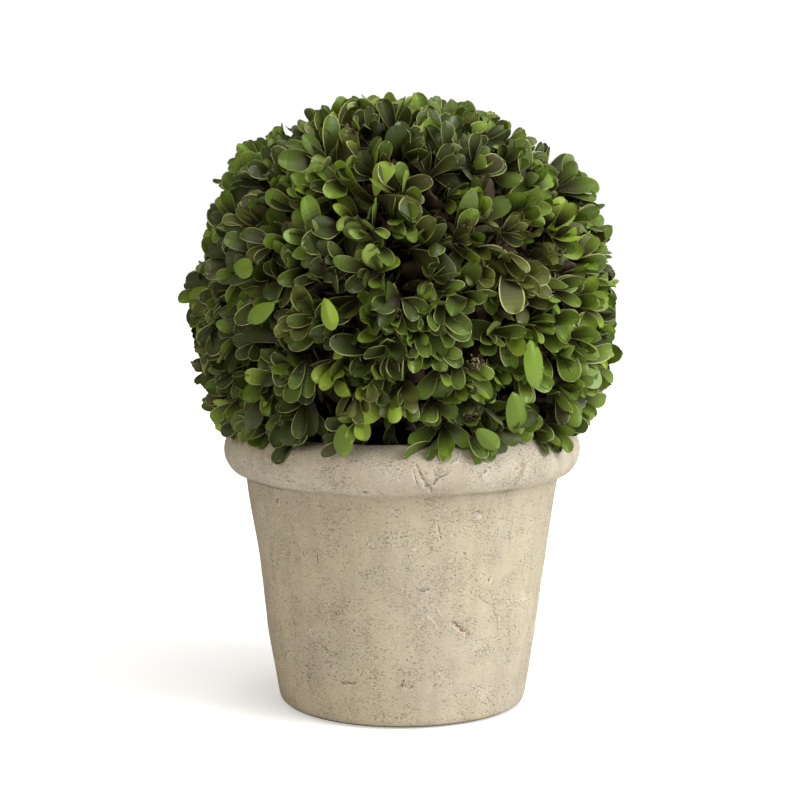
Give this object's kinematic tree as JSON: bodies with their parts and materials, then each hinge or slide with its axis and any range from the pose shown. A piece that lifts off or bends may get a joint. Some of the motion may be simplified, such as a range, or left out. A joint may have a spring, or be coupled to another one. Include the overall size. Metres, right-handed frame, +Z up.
{
  "type": "preserved box topiary ball in a round stone pot",
  "caption": "Small clipped ball of box foliage on a hidden stem, standing in a round flared stone pot with a thick rolled rim.",
  "frame": {"origin": "middle of the pot's flat underside, on the surface that it stands on", "axes": "+Z up through the stem and the top of the crown; -Y faces the viewer; the foliage reaches a little further on the -Y side"},
  "size_m": [0.2176, 0.2156, 0.3054],
  "materials": {
    "pot_stone": "matte",
    "potting_fill": "matte",
    "bark": "matte",
    "foliage": "satin"
  },
  "bodies": {
    "root": {"pot": "pot_stone", "potting_fill": "potting_fill", "stem": "bark", "crown": "foliage"}
  },
  "joints": []
}
